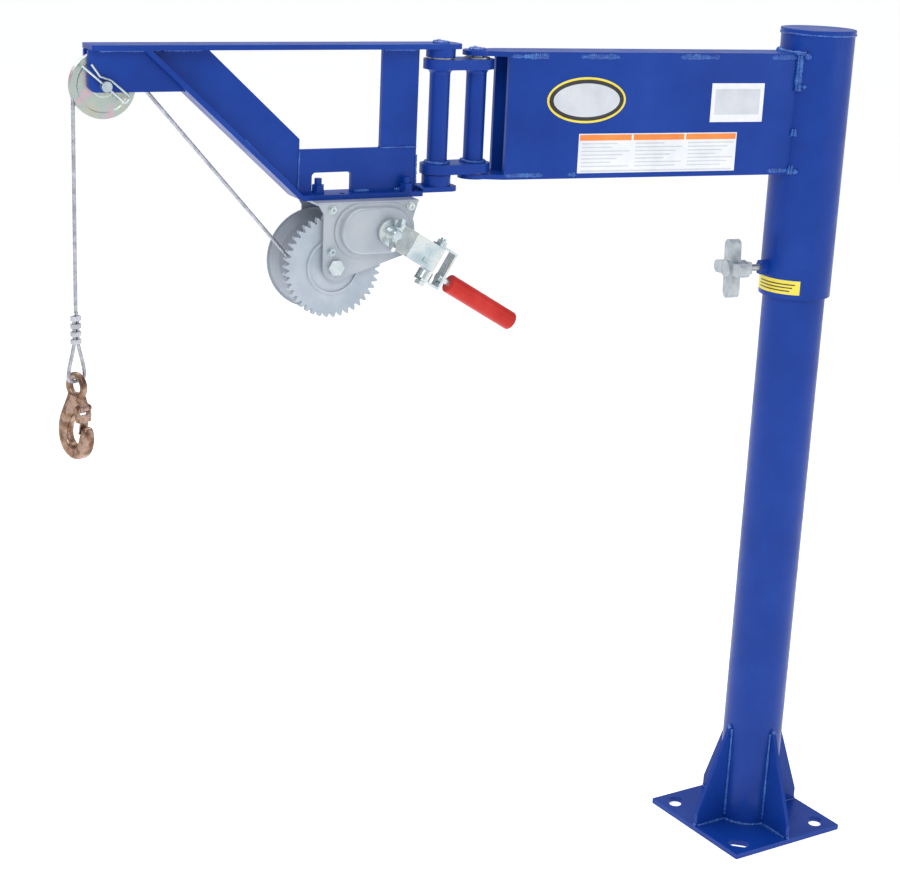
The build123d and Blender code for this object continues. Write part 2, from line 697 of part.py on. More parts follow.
with BuildPart() as hook_latch:
    for start in (9.4, -7.4):
        with BuildSketch(side(hook_frame, start)):
            with BuildLine():
                Polyline((6.5, 739), (14.8, 741), (16.4, 733), (12.4, 713.5), (10.4, 713.5), (8, 733), close=True)
            make_face()
            with Locations(LATCH):
                Circle(5)
                Circle(2.08, mode=Mode.SUBTRACT)
        extrude(amount=2)
    with BuildSketch(side(hook_frame, 9.4)):
        with BuildLine():
            Polyline((14.3, 735), (16.4, 735), (12.4, 713.5), (10.9, 709.5), (9.2, 710.1), (10.5, 713.8), close=True)
        make_face()
    extrude(amount=18.8)
    with BuildSketch(level(hook_frame, 705)):
        with Locations((12, 12), (12, -12)):
            Rectangle(14, 12)
    extrude(amount=20, mode=Mode.SUBTRACT)
hook_latch.part.label = "hook_latch"
export_step(hook_latch.part, "parts/hook_latch.step")

with BuildPart() as latch_rivet:
    with BuildSketch(side(hook_frame, 9.7)):
        with Locations(LATCH):
            Circle(2.0)
    extrude(amount=19.4)
    for start in (11.7, -9.7):
        with BuildSketch(side(hook_frame, start)):
            with Locations(LATCH):
                Circle(3.6)
        extrude(amount=2)
latch_rivet.part.label = "latch_rivet"
export_step(latch_rivet.part, "parts/latch_rivet.step")

# ---------------------------------------------------------------- winch frame
pinion_turn = atan2(45.5, -72.0)
centre_gap = MODULE * (GEAR_TEETH + PINION_TEETH) / 2
PINION_L = DRUM_L + centre_gap * cos(pinion_turn)
PINION_Z = DRUM_Z + centre_gap * sin(pinion_turn)
web_top = BAR_Z - PLATE_T


def side_plate_outline():
    """Winch side plate: wide at the top flange, one round lobe about the drum axle."""
    with BuildSketch() as outline:
        with BuildLine():
            Polyline(
                (DRUM_L + 17, DRUM_Z),
                (DRUM_L + 17, web_top - 14),
                (182.5, web_top),
                (43, web_top),
                (50, 966),
                (61.8, 918),
                (DRUM_L - 4.4, DRUM_Z - 16.4),
            )
            ThreePointArc(
                (DRUM_L - 4.4, DRUM_Z - 16.4),
                (DRUM_L + 10, DRUM_Z - 13.75),
                (DRUM_L + 17, DRUM_Z),
            )
        make_face()
        fillet(outline.vertices().sort_by(Axis.X)[:1], 4)
        with Locations((DRUM_L, DRUM_Z), (PINION_L, PINION_Z)):
            Circle(6.35, mode=Mode.SUBTRACT)
    return outline.sketch


with BuildPart() as winch_frame:
    for start in (FRAME_FRONT, FRAME_REAR + SHEET):
        with BuildSketch(side(outer, start)):
            add(side_plate_outline())
            with Locations((PINION_L, PINION_Z)):
                Circle(6.45, mode=Mode.SUBTRACT)
        extrude(amount=SHEET)
    with BuildSketch(side(outer, FRAME_FRONT)):
        with Locations((112.75, web_top - SHEET / 2)):
            Rectangle(139.5, SHEET)
    extrude(amount=FRAME_FRONT - FRAME_REAR)
    outside = winch_frame.edges().filter_by(Axis((0, 0, 0), outer.x_dir)).group_by(Axis.Z)[-1]
    fillet(outside, 2.2)
    with BuildSketch(level(outer, web_top)):
        with Locations((40 + 8, 12), (40 + 8, -12), (166, 0)):
            Circle(4.9)
    extrude(amount=-SHEET, mode=Mode.SUBTRACT)
winch_frame.part.label = "winch_frame"
export_step(winch_frame.part, "parts/winch_frame.step")

COVER = (104.3, 952.0)
with BuildPart() as gear_cover:
    with BuildSketch(side(outer, FRAME_FRONT)):
        with Locations(COVER):
            SlotOverall(110, 69)
    extrude(amount=-2.5)
    with BuildSketch(side(outer, FRAME_FRONT + 2.5)):
        with Locations(COVER):
            SlotOverall(97, 60)
    extrude(amount=-7.5, taper=8)
    fillet(gear_cover.faces().filter_by(Axis((0, 0, 0), outer.y_dir)).sort_by(
        Axis((0, 0, 0), outer.y_dir))[-1].edges(), 3)
    with BuildSketch(side(outer, FRAME_FRONT)):
        with Locations(COVER):
            SlotOverall(92, 55)
    extrude(amount=-7.5, taper=8, mode=Mode.SUBTRACT)
    with BuildSketch(side(outer, FRAME_FRONT + 12)):
        with Locations((PINION_L, PINION_Z)):
            Circle(8.2)
    extrude(amount=12, mode=Mode.SUBTRACT)
gear_cover.part.label = "gear_cover"
export_step(gear_cover.part, "parts/gear_cover.step")

with BuildPart() as cover_screws:
    for spot in ((162.9, 980), (54.5, 980.4), (163, 927)):
        with BuildSketch(side(outer, FRAME_FRONT + 1.2)):
            with Locations(spot):
                Circle(5.6)
        extrude(amount=1.2)
        with BuildSketch(side(outer, FRAME_FRONT + 5.2)):
            with Locations(spot):
                RegularPolygon(4.0, 6, major_radius=False)
        extrude(amount=4)
        with BuildSketch(side(outer, FRAME_FRONT + 5.2)):
            with Locations(spot):
                Rectangle(4.6, 1.0)
                Rectangle(1.0, 4.6)
        extrude(amount=1.6, mode=Mode.SUBTRACT)
cover_screws.part.label = "cover_screws"
export_step(cover_screws.part, "parts/cover_screws.step")

with BuildPart() as drum_axle:
    with BuildSketch(side(outer, FRAME_FRONT)):
        with Locations((DRUM_L, DRUM_Z)):
            Circle(6.35)
    extrude(amount=FRAME_FRONT - FRAME_REAR + 12)
    with BuildSketch(side(outer, FRAME_FRONT + 5.3)):
        with Locations((DRUM_L, DRUM_Z)):
            RegularPolygon(9.5, 6, major_radius=False)
    extrude(amount=5.3)
drum_axle.part.label = "drum_axle"
export_step(drum_axle.part, "parts/drum_axle.step")

with BuildPart() as drum_axle_nut:
    with BuildSketch(side(outer, FRAME_REAR)):
        with Locations((DRUM_L, DRUM_Z)):
            RegularPolygon(9.5, 6, major_radius=False)
            Circle(6.35, mode=Mode.SUBTRACT)
    extrude(amount=8)
drum_axle_nut.part.label = "drum_axle_nut"
export_step(drum_axle_nut.part, "parts/drum_axle_nut.step")

MOUNT_BOLTS = ((48, 12), (48, -12), (166, 0))
with BuildPart() as mount_bolts:
    with BuildSketch(level(outer, web_top - SHEET - 6)):
        with Locations(*MOUNT_BOLTS):
            RegularPolygon(7.5, 6, major_radius=False)
    extrude(amount=6)
    with BuildSketch(level(outer, web_top - SHEET)):
        with Locations(*MOUNT_BOLTS):
            Circle(4.76)
    extrude(amount=28)
mount_bolts.part.label = "mount_bolts"
export_step(mount_bolts.part, "parts/mount_bolts.step")

with BuildPart() as mount_nuts:
    with BuildSketch(level(outer, BAR_Z)):
        with Locations(*MOUNT_BOLTS):
            Circle(8.2)
            Circle(4.9, mode=Mode.SUBTRACT)
    extrude(amount=2.2)
    with BuildSketch(level(outer, BAR_Z + 2.2)):
        with Locations(*MOUNT_BOLTS):
            RegularPolygon(7.2, 6, major_radius=False)
            Circle(4.76, mode=Mode.SUBTRACT)
    extrude(amount=8.4)
mount_nuts.part.label = "mount_nuts"
export_step(mount_nuts.part, "parts/mount_nuts.step")

# ---------------------------------------------------------------- drum
drum_axis = Axis(outer.from_local_coords((DRUM_L, 0, DRUM_Z)), outer.y_dir)
with BuildPart() as drum:
    with BuildSketch(level(outer, DRUM_Z)):
        with BuildLine():
            Polyline(
                (DRUM_L + 6.45, -31.2),
                (DRUM_L + 14, -31.2),
                (DRUM_L + 14, -27.5),
                (DRUM_L + 50, -27.5),
                (DRUM_L + 62, -30),
                (DRUM_L + 65.5, -29),
                (DRUM_L + 65.5, -27),
                (DRUM_L + 62, -27.5),
                (DRUM_L + 50, -25),
                (DRUM_L + 17.4, -25),
                (DRUM_L + 17.4, 24.9),
                (DRUM_L + 6.45, 24.9),
                close=True,
            )
        make_face()
    revolve(axis=drum_axis)
drum.part.label = "drum"
export_step(drum.part, "parts/drum.step")

GEAR_FROM = 25.0
GEAR_W = 8.0
with BuildPart() as drum_gear:
    with BuildSketch(side(outer, GEAR_FROM + GEAR_W)):
        with Locations((DRUM_L, DRUM_Z)):
            Circle(MODULE * GEAR_TEETH / 2 - 1.2 * MODULE)
            tooth_ring = tooth_points(GEAR_TEETH, MODULE * GEAR_TEETH / 2 + 0.95 * MODULE,
                                      MODULE * GEAR_TEETH / 2 - 1.2 * MODULE, 0.12)
            with PolarLocations(0, GEAR_TEETH, start_angle=degrees(pinion_turn)):
                Polygon(*tooth_ring, align=None)
            Circle(6.45, mode=Mode.SUBTRACT)
    extrude(amount=GEAR_W)
    with BuildSketch(side(outer, GEAR_FROM + GEAR_W + 2.2)):
        with Locations((DRUM_L, DRUM_Z)):
            Circle(36)
            Circle(32.5, mode=Mode.SUBTRACT)
    extrude(amount=3)
    with BuildSketch(side(outer, FRAME_FRONT - SHEET - 0.4)):
        with Locations((DRUM_L, DRUM_Z)):
            Circle(12.5)
            Circle(6.45, mode=Mode.SUBTRACT)
    extrude(amount=FRAME_FRONT - SHEET - 0.4 - GEAR_FROM - GEAR_W)
drum_gear.part.label = "drum_gear"
export_step(drum_gear.part, "parts/drum_gear.step")

with BuildPart() as wound_rope:
    with BuildSketch(level(outer, DRUM_Z)):
        with Locations((DRUM_L + 21.6, 0)):
            Rectangle(8.2, 49.4)
        for turn in range(11):
            with Locations((DRUM_L + 25.7, -22.3 + 4.46 * turn)):
                Circle(2.3)
        with Locations((DRUM_L + 26.5, -14)):
            Rectangle(7, 18)
        for turn in range(5):
            with Locations((DRUM_L + ROPE_ON_DRUM - 0.2, -22.4 + 4.35 * turn)):
                Circle(2.2)
    revolve(axis=drum_axis)
wound_rope.part.label = "wound_rope"
export_step(wound_rope.part, "parts/wound_rope.step")

# ---------------------------------------------------------------- crank
crank_x = outer.x_dir * -cos(CRANK_DROP) - Vector(0, 0, sin(CRANK_DROP))
crank_at = outer.from_local_coords((PINION_L, 0, PINION_Z))
crank = Plane(origin=crank_at, x_dir=crank_x, z_dir=outer.y_dir)

with BuildPart() as pinion:
    with BuildSketch(side(outer, GEAR_FROM + GEAR_W + 1)):
        with Locations((PINION_L, PINION_Z)):
            Circle(MODULE * PINION_TEETH / 2 - 1.2 * MODULE)
            tooth_small = tooth_points(PINION_TEETH, MODULE * PINION_TEETH / 2 + 0.95 * MODULE,
                                       MODULE * PINION_TEETH / 2 - 1.2 * MODULE, 0.12)
            first = degrees(pinion_turn) + 180 + 180 / PINION_TEETH
            with PolarLocations(0, PINION_TEETH, start_angle=first):
                Polygon(*tooth_small, align=None)
    extrude(amount=GEAR_W + 2)
    with BuildSketch(side(outer, 75)):
        with Locations((PINION_L, PINION_Z)):
            Circle(6.35)
    extrude(amount=75 - FRAME_REAR + 3)
    chamfer(pinion.edges().filter_by(GeomType.CIRCLE).sort_by(Axis((0, 0, 0), outer.y_dir))[-1], 1)
pinion.part.label = "pinion"
export_step(pinion.part, "parts/pinion.step")

with BuildPart() as crank_washer:
    with BuildSketch(level(crank, FRAME_FRONT + 10.4)):
        Circle(16.7)
        Circle(6.35, mode=Mode.SUBTRACT)
    extrude(amount=2.6)
crank_washer.part.label = "crank_washer"
export_step(crank_washer.part, "parts/crank_washer.step")

WING_TILT = radians(111)
wing_x = outer.x_dir * cos(WING_TILT) + Vector(0, 0, sin(WING_TILT))
with BuildPart() as wing_nut:
    with BuildSketch(level(crank, 57.1)):
        Circle(9)
    extrude(amount=11.5, taper=10)
    with BuildSketch(Plane(origin=crank_at, x_dir=wing_x, z_dir=wing_x.cross(outer.y_dir))):
        with BuildLine():
            Polyline((0, 59), (8, 60), (19, 68), (21.5, 75), (16, 77), (9.5, 69), (0, 68), close=True)
        make_face()
        mirror(about=Plane.YZ)
    extrude(amount=2.6, both=True)
    with BuildSketch(level(crank, 50)):
        Circle(6.35)
    extrude(amount=40, mode=Mode.SUBTRACT)
wing_nut.part.label = "wing_nut"
export_step(wing_nut.part, "parts/wing_nut.step")

with BuildPart() as crank_arm:
    with BuildSketch(side(crank, 17.1)):
        with BuildLine():
            Polyline(
                (-17.1, 53.1),
                (13, 53.1),
                (31, 61),
                (ARM_LENGTH, 61),
                (ARM_LENGTH, 65),
                (30, 65),
                (12, 57),
                (-17.1, 57),
                close=True,
            )
        make_face()
    extrude(amount=34.2)
    for edge_y in (17.1, -14.1):
        with BuildSketch(side(crank, edge_y)):
            with BuildLine():
                Polyline((58, 61.5), (63, 50.5), (ARM_LENGTH + 0.5, 50.5), (ARM_LENGTH + 0.5, 61.5), close=True)
            make_face()
        extrude(amount=3)
    with BuildSketch(side(crank, 40)):
        with Locations((70, 56)):
            Circle(4)
    extrude(amount=80, mode=Mode.SUBTRACT)
    with BuildSketch(level(crank, 40)):
        Circle(6.35)
    extrude(amount=30, mode=Mode.SUBTRACT)
    with BuildSketch(level(crank, 63.8)):
        with Locations((57, -10.5)):
            Rectangle(8, 0.9)
        with Locations((53, -7.5)):
            Rectangle(0.9, 6)
    extrude(amount=3, mode=Mode.SUBTRACT)
    heel = crank_arm.edges().filter_by(Axis((0, 0, 0), outer.y_dir)).filter_by(lambda e: e.length > 3.5)
    fillet(heel.sort_by(Axis((0, 0, 0), crank_x))[:2], 16)
crank_arm.part.label = "crank_arm"
export_step(crank_arm.part, "parts/crank_arm.step")

with BuildPart() as crank_hinge_bolt:
    with BuildSketch(side(crank, 29)):
        with Locations((70, 56)):
            Circle(4)
    extrude(amount=65)
    with BuildSketch(side(crank, 25.6)):
        with Locations((70, 56)):
            RegularPolygon(6.5, 6, major_radius=False)
            Circle(4, mode=Mode.SUBTRACT)
    extrude(amount=5)
    with BuildSketch(side(crank, -33.2)):
        with Locations((70, 56)):
            RegularPolygon(6.5, 6, major_radius=False)
    extrude(amount=5.2)
crank_hinge_bolt.part.label = "crank_hinge_bolt"
export_step(crank_hinge_bolt.part, "parts/crank_hinge_bolt.step")

# ---------------------------------------------------------------- folding grip
GRIP_Y = -17.0
GRIP_H = 56.0
with BuildPart() as grip_bracket:
    with BuildSketch(level(crank, GRIP_H - 10)):
        with BuildLine():
            Polyline(
                (64, 19.4), (64, 17.4), (91, 17.4), (91, -29.4), (64, -29.4), (64, -32.4),
                (94, -32.4), (94, 20.4), (64, 20.4), close=True,
            )
        make_face()
    extrude(amount=20)
    with BuildSketch(side(crank, 40)):
        with Locations((70, 56)):
            Circle(4.1)
    extrude(amount=80, mode=Mode.SUBTRACT)
    with BuildSketch(side(crank, -18.0)):
        with Locations((70, 56)):
            Circle(10)
            Circle(4.1, mode=Mode.SUBTRACT)
    extrude(amount=11.6)
    with BuildSketch(Plane(origin=crank.from_local_coords((88, GRIP_Y, GRIP_H)), z_dir=crank_x)):
        Circle(4)
    extrude(amount=10, mode=Mode.SUBTRACT)
grip_bracket.part.label = "grip_bracket"
export_step(grip_bracket.part, "parts/grip_bracket.step")

with BuildPart() as grip_spindle:
    with BuildSketch(Plane(origin=crank.from_local_coords((94, GRIP_Y, GRIP_H)), z_dir=crank_x)):
        Circle(6.5)
    extrude(amount=3.5)
    with BuildSketch(Plane(origin=crank.from_local_coords((88, GRIP_Y, GRIP_H)), z_dir=crank_x)):
        Circle(4)
    extrude(amount=122)
    with BuildSketch(Plane(origin=crank.from_local_coords((91, GRIP_Y, GRIP_H)), z_dir=-crank_x)):
        Circle(7)
    extrude(amount=3)
grip_spindle.part.label = "grip_spindle"
export_step(grip_spindle.part, "parts/grip_spindle.step")

with BuildPart() as grip:
    with BuildSketch(Plane(origin=crank.from_local_coords((107, GRIP_Y, GRIP_H)), z_dir=crank_x)):
        Circle(12.5)
    extrude(amount=112)
    fillet(grip.edges().group_by(Axis((0, 0, 0), crank_x))[-1], 4)
    fillet(grip.edges().group_by(Axis((0, 0, 0), crank_x))[0], 1.5)
    with BuildSketch(Plane(origin=crank.from_local_coords((106, GRIP_Y, GRIP_H)), z_dir=crank_x)):
        Circle(4.1)
    extrude(amount=105, mode=Mode.SUBTRACT)
grip.part.label = "grip"
export_step(grip.part, "parts/grip.step")

print("outer arm pin", pin_b, "pin a", pin_a)
for name, spot in (
    ("drum axis", (DRUM_L, 0, DRUM_Z)),
    ("pinion axis", (PINION_L, 0, PINION_Z)),
    ("sheave axis", (SHEAVE_L, 0, SHEAVE_Z)),
    ("rope", (hang_l, 0, 0)),
):
    print(name, outer.from_local_coords(spot))
print("fold axis", crank.from_local_coords((70, 0, 56)), "dir", crank.y_dir)
print("grip axis", crank.from_local_coords((107, GRIP_Y, GRIP_H)), "dir", crank_x)
print("latch", hook_side.from_local_coords((LATCH[0], LATCH[1], 0)), "dir", hook_frame.y_dir)
print("directions", inner.x_dir, outer.x_dir, outer.y_dir)
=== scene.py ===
import bpy
import json
from math import asin, atan2, ceil, cos, hypot, pi, radians, sin, sqrt, tan
from mathutils import Matrix, Vector
import random


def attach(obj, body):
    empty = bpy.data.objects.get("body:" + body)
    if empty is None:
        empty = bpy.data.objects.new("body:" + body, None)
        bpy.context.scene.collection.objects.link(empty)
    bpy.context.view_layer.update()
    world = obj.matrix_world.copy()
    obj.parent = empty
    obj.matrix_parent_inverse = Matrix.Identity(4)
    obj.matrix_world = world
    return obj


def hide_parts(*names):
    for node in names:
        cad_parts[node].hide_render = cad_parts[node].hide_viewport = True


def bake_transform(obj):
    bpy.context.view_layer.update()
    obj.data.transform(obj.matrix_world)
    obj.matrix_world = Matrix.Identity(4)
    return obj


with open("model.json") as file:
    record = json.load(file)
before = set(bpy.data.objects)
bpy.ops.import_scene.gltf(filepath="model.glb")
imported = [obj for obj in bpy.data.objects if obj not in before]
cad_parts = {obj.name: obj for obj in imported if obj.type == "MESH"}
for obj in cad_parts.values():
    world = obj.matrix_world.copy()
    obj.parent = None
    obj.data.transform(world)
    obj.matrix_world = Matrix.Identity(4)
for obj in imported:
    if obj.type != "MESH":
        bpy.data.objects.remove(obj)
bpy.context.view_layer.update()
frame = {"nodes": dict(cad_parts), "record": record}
MM = 0.001
UP = Vector((0, 0, 1))

# ---------------------------------------------------------------- camera
camera = bpy.data.objects.new("camera", bpy.data.cameras.new("camera"))
bpy.context.scene.collection.objects.link(camera)
camera.data.sensor_fit = "HORIZONTAL"
camera.data.sensor_width = 36
camera.data.lens = 77.455
CAM_RIGHT = Vector((0.846989, -0.529933, 0.042209))
CAM_UP = Vector((0.117769, 0.264467, 0.957177))
CAM_BACK = Vector((-0.518402, -0.805747, 0.28641))
camera.matrix_world = Matrix.Translation((-1.88104, -2.03092, 1.40446)) @ Matrix(
    (CAM_RIGHT, CAM_UP, CAM_BACK)).transposed().to_4x4()
camera.data.clip_end = 50
bpy.context.scene.camera = camera
bpy.context.scene.view_settings.view_transform = "Standard"


# ---------------------------------------------------------------- arm frames
class Arm:
    """x runs outward along an arm, y to its front, z up; millimetres in, metres out."""

    def __init__(self, origin, turn):
        self.origin = Vector((origin.x, origin.y, 0))
        self.out = Vector((-cos(turn), -sin(turn), 0))
        self.front = UP.cross(self.out)

    def at(self, along, front, up):
        return self.origin + (self.out * along + self.front * front) * MM + UP * up * MM


PIN_A_REACH = 506.7
LINK_SPAN = 54.1
inner = Arm(Vector((0, 0, 0)), radians(-10.69))
link = Arm(inner.at(PIN_A_REACH, 0, 0), radians(-2.57))
outer = Arm(link.at(LINK_SPAN, 0, 0), radians(-5.33))

HOOK_TURN = radians(67.4)
SHEAVE = (445.3, 1133.2)
DRUM = (157.0, 906.5)
ON_SHEAVE = 35.5
ON_DRUM = 30.5
ROPE_R = 2.4


# ---------------------------------------------------------------- materials
def nodes_of(name):
    mat = bpy.data.materials.new(name)
    mat.use_nodes = True
    tree = mat.node_tree
    return mat, tree, tree.nodes["Principled BSDF"]


def noise(tree, scale, detail, rough):
    coords = tree.nodes.new("ShaderNodeTexCoord")
    tex = tree.nodes.new("ShaderNodeTexNoise")
    tex.inputs["Scale"].default_value = scale
    tex.inputs["Detail"].default_value = detail
    tex.inputs["Roughness"].default_value = rough
    tree.links.new(coords.outputs["Object"], tex.inputs["Vector"])
    return tex


def ramp(tree, source, stops):
    node = tree.nodes.new("ShaderNodeValToRGB")
    while len(node.color_ramp.elements) < len(stops):
        node.color_ramp.elements.new(0.5)
    for element, (place, colour) in zip(node.color_ramp.elements, stops):
        element.position = place
        element.color = (*colour, 1)
    tree.links.new(source, node.inputs["Fac"])
    return node.outputs["Color"]


def spread(tree, source, low, high):
    node = tree.nodes.new("ShaderNodeMapRange")
    node.inputs["From Min"].default_value = 0.3
    node.inputs["From Max"].default_value = 0.7
    node.inputs["To Min"].default_value = low
    node.inputs["To Max"].default_value = high
    tree.links.new(source, node.inputs["Value"])
    return node.outputs["Result"]


def finish(name, stops, scale, rough, fine, bump, metal=0.0, coat=0.0, specular=0.5):
    """A surface with broad colour changes, uneven gloss and a fine relief."""
    mat, tree, shader = nodes_of(name)
    broad = noise(tree, scale, 5, 0.6)
    tree.links.new(ramp(tree, broad.outputs["Fac"], stops), shader.inputs["Base Color"])
    gloss = noise(tree, scale * 3.1, 4, 0.6)
    tree.links.new(spread(tree, gloss.outputs["Fac"], *rough), shader.inputs["Roughness"])
    grain = noise(tree, fine, 6, 0.65)
    relief = tree.nodes.new("ShaderNodeBump")
    relief.inputs["Strength"].default_value = bump
    relief.inputs["Distance"].default_value = 0.0004
    tree.links.new(grain.outputs["Fac"], relief.inputs["Height"])
    tree.links.new(relief.outputs["Normal"], shader.inputs["Normal"])
    shader.inputs["Metallic"].default_value = metal
    shader.inputs["Coat Weight"].default_value = coat
    shader.inputs["Coat Roughness"].default_value = 0.12
    shader.inputs["Specular IOR Level"].default_value = specular
    return mat


BLUE = finish("blue_enamel", [
    (0.3, (0.003, 0.034, 0.25)),
    (0.5, (0.004, 0.041, 0.285)),
    (0.72, (0.008, 0.050, 0.32)),
], 9, (0.28, 0.46), 420, 0.35, coat=0.1, specular=0.16)
GREY = finish("winch_grey", [
    (0.3, (0.33, 0.37, 0.42)),
    (0.5, (0.39, 0.43, 0.48)),
    (0.7, (0.45, 0.48, 0.52)),
], 14, (0.30, 0.48), 500, 0.3, metal=0.25, coat=0.15)
GEAR = finish("gear_grey", [
    (0.3, (0.34, 0.40, 0.46)),
    (0.5, (0.42, 0.47, 0.54)),
    (0.7, (0.50, 0.54, 0.59)),
], 18, (0.34, 0.55), 600, 0.4, metal=0.2)
ZINC = finish("bright_zinc", [
    (0.25, (0.34, 0.44, 0.48)),
    (0.45, (0.52, 0.60, 0.63)),
    (0.6, (0.66, 0.70, 0.69)),
    (0.78, (0.62, 0.59, 0.50)),
], 38, (0.18, 0.38), 900, 0.25, metal=0.85)
YELLOW_ZINC = finish("yellow_zinc", [
    (0.25, (0.42, 0.40, 0.30)),
    (0.42, (0.52, 0.52, 0.44)),
    (0.52, (0.42, 0.52, 0.48)),
    (0.62, (0.60, 0.46, 0.50)),
    (0.78, (0.48, 0.51, 0.58)),
], 30, (0.22, 0.4), 800, 0.3, metal=0.8)
BRONZE_ZINC = finish("bronze_chromate", [
    (0.25, (0.07, 0.045, 0.045)),
    (0.42, (0.17, 0.09, 0.06)),
    (0.5, (0.32, 0.19, 0.12)),
    (0.58, (0.42, 0.30, 0.24)),
    (0.66, (0.25, 0.15, 0.17)),
    (0.8, (0.18, 0.16, 0.15)),
], 55, (0.20, 0.40), 420, 0.8, metal=0.85)
ROPE = finish("galvanised_wire", [
    (0.3, (0.26, 0.27, 0.31)),
    (0.5, (0.42, 0.43, 0.48)),
    (0.7, (0.58, 0.59, 0.64)),
], 120, (0.3, 0.5), 2600, 0.6, metal=0.75)
CLAMP = finish("pressed_aluminium", [
    (0.3, (0.38, 0.39, 0.44)),
    (0.5, (0.50, 0.51, 0.56)),
    (0.7, (0.60, 0.61, 0.65)),
], 70, (0.34, 0.52), 700, 0.7, metal=0.45)
STEEL = finish("bare_steel", [
    (0.3, (0.30, 0.31, 0.33)),
    (0.5, (0.42, 0.43, 0.45)),
    (0.7, (0.52, 0.52, 0.53)),
], 60, (0.25, 0.45), 1200, 0.3, metal=0.9)
BRASS = finish("oiled_bronze", [
    (0.3, (0.32, 0.21, 0.09)),
    (0.5, (0.46, 0.32, 0.15)),
    (0.7, (0.55, 0.40, 0.21)),
], 60, (0.3, 0.5), 1200, 0.3, metal=0.9)
CASTING = finish("grey_casting", [
    (0.3, (0.30, 0.33, 0.35)),
    (0.5, (0.44, 0.48, 0.51)),
    (0.7, (0.56, 0.60, 0.62)),
], 55, (0.4, 0.62), 480, 1.0, metal=0.35)
RED = finish("red_grip", [
    (0.3, (0.42, 0.012, 0.007)),
    (0.5, (0.50, 0.018, 0.012)),
    (0.7, (0.56, 0.030, 0.020)),
], 22, (0.26, 0.42), 700, 0.3, coat=0.1, specular=0.2)
# Weld beads: the frame's blue paint, made a lighter blue as a painted highlight for the light that the
# rippled beads catch.
WELD_PAINT_AND_HIGHLIGHT = finish("weld_paint_with_painted_highlight", [
    (0.3, (0.005, 0.050, 0.30)),
    (0.5, (0.014, 0.085, 0.39)),
    (0.72, (0.05, 0.18, 0.52)),
], 60, (0.16, 0.32), 500, 0.7, coat=0.5, specular=0.3)
YELLOW = finish("label_yellow", [
    (0.3, (0.78, 0.62, 0.04)),
    (0.6, (0.86, 0.72, 0.08)),
], 30, (0.3, 0.45), 800, 0.15)
BLACK = finish("label_black", [
    (0.3, (0.012, 0.012, 0.016)),
    (0.6, (0.03, 0.03, 0.036)),
], 30, (0.3, 0.45), 800, 0.15)
PALE = finish("label_grey", [
    (0.3, (0.52, 0.55, 0.60)),
    (0.6, (0.62, 0.65, 0.69)),
], 30, (0.32, 0.5), 800, 0.15)
WHITE = finish("label_white", [
    (0.3, (0.72, 0.74, 0.78)),
    (0.6, (0.82, 0.83, 0.86)),
], 30, (0.32, 0.5), 800, 0.15)
ORANGE = finish("label_orange", [
    (0.3, (0.80, 0.20, 0.03)),
    (0.6, (0.88, 0.27, 0.05)),
], 30, (0.32, 0.5), 800, 0.15)

SLOTS = {
    "blue_paint": BLUE, "grey_paint": GREY, "zinc": ZINC, "yellow_zinc": YELLOW_ZINC,
    "wire_rope": ROPE, "aluminium_clamps": CLAMP, "bare_steel": STEEL, "bronze": BRASS,
    "cast_knob": CASTING, "red_grip": RED, "bronze_zinc": BRONZE_ZINC,
}
for part in frame["record"]["subparts"]:
    node = frame["nodes"][part["node"]]
    node.data.materials.clear()
    node.data.materials.append(GEAR if part["node"] == "drum_gear" else SLOTS[part["material_slot"]])


# ---------------------------------------------------------------- mesh helpers
def piece(name, verts, faces, material, body, smooth=True):
    """A new mesh piece that rides on a body, or on none yet where body is None."""
    mesh = bpy.data.meshes.new(name)
    mesh.from_pydata([tuple(v) for v in verts], [], faces)
    mesh.validate()
    mesh.polygons.foreach_set("use_smooth", [smooth] * len(mesh.polygons))
    mesh.materials.append(material)
    obj = bpy.data.objects.new(name, mesh)
    bpy.context.scene.collection.objects.link(obj)
    if body:
        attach(obj, body)
    return obj


def resample(points, step):
    """Points along a polyline at an even spacing."""
    lengths = [0.0]
    for a, b in zip(points, points[1:]):
        lengths.append(lengths[-1] + (b - a).length)
    count = max(2, ceil(lengths[-1] / step))
    result = []
    index = 0
    for number in range(count + 1):
        target = lengths[-1] * number / count
        while index < len(points) - 2 and lengths[index + 1] < target:
            index += 1
        run = lengths[index + 1] - lengths[index]
        share = (target - lengths[index]) / run if run else 0
        result.append(points[index].lerp(points[index + 1], min(max(share, 0), 1)))
    return result


def tube(points, radius_at, count):
    """Closed tube along points; radius_at(distance, angle) gives its radius in metres."""
    verts, faces = [], []
    tangent = (points[1] - points[0]).normalized()
    side = tangent.orthogonal().normalized()
    travelled = 0.0
    for number, point in enumerate(points):
        ahead = points[min(number + 1, len(points) - 1)]
        behind = points[max(number - 1, 0)]
        tangent = (ahead - behind).normalized()
        side = (side - tangent * side.dot(tangent)).normalized()
        other = tangent.cross(side)
        if number:
            travelled += (point - points[number - 1]).length
        for step in range(count):
            angle = 2 * pi * step / count
            radius = radius_at(travelled, angle)
            verts.append(point + (side * cos(angle) + other * sin(angle)) * radius)
    for number in range(len(points) - 1):
        for step in range(count):
            a = number * count + step
            b = number * count + (step + 1) % count
            faces.append((a, b, b + count, a + count))
    faces.append(tuple(reversed(range(count))))
    faces.append(tuple(range((len(points) - 1) * count, len(points) * count)))
    return verts, faces


